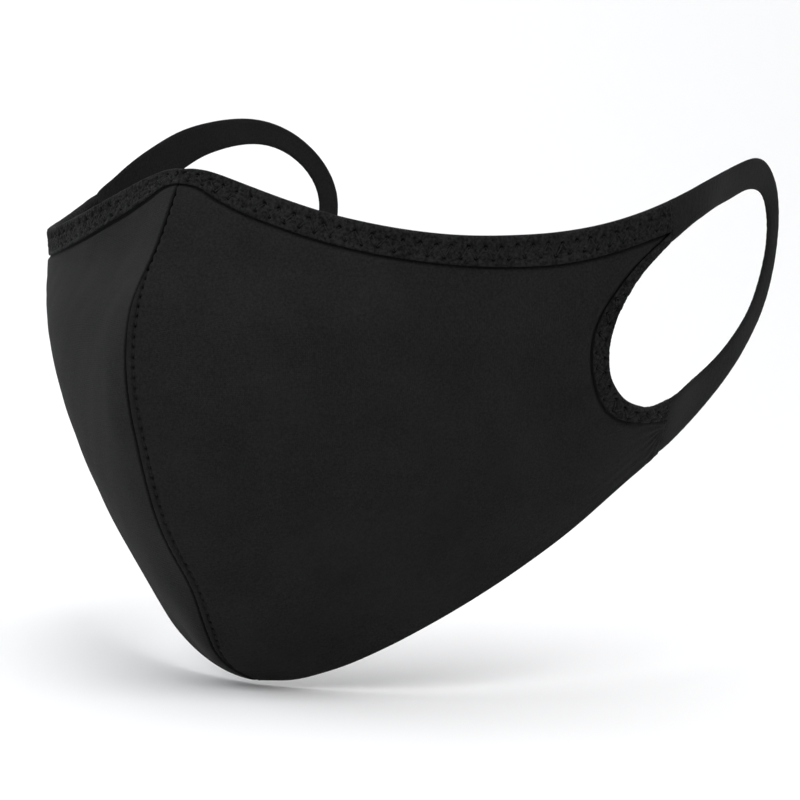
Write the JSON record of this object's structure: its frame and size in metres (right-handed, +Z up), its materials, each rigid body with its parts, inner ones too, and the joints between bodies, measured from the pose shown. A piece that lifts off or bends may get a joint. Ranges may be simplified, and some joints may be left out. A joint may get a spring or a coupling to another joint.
{
  "type": "cloth face mask",
  "caption": "Shaped cloth face mask with a front seam, taped edges and a flat ear loop on each side.",
  "frame": {"origin": "top edge of the mask at the middle of the nose bridge", "axes": "+Z up along the wearer, -Y the way the wearer faces, +X towards the wearer's left ear"},
  "size_m": [0.1964, 0.1925, 0.1488],
  "materials": {
    "cloth": "near-black smooth knit with a short brushed nap",
    "tape": "black ribbed binding tape with black zigzag stitches",
    "strap": "black smooth knit strap"
  },
  "bodies": {
    "root": {"left_panel": "cloth", "right_panel": "cloth", "top_binding": "tape", "left_ear_binding": "tape", "right_ear_binding": "tape", "left_ear_loop": "strap", "right_ear_loop": "strap"}
  },
  "joints": []
}
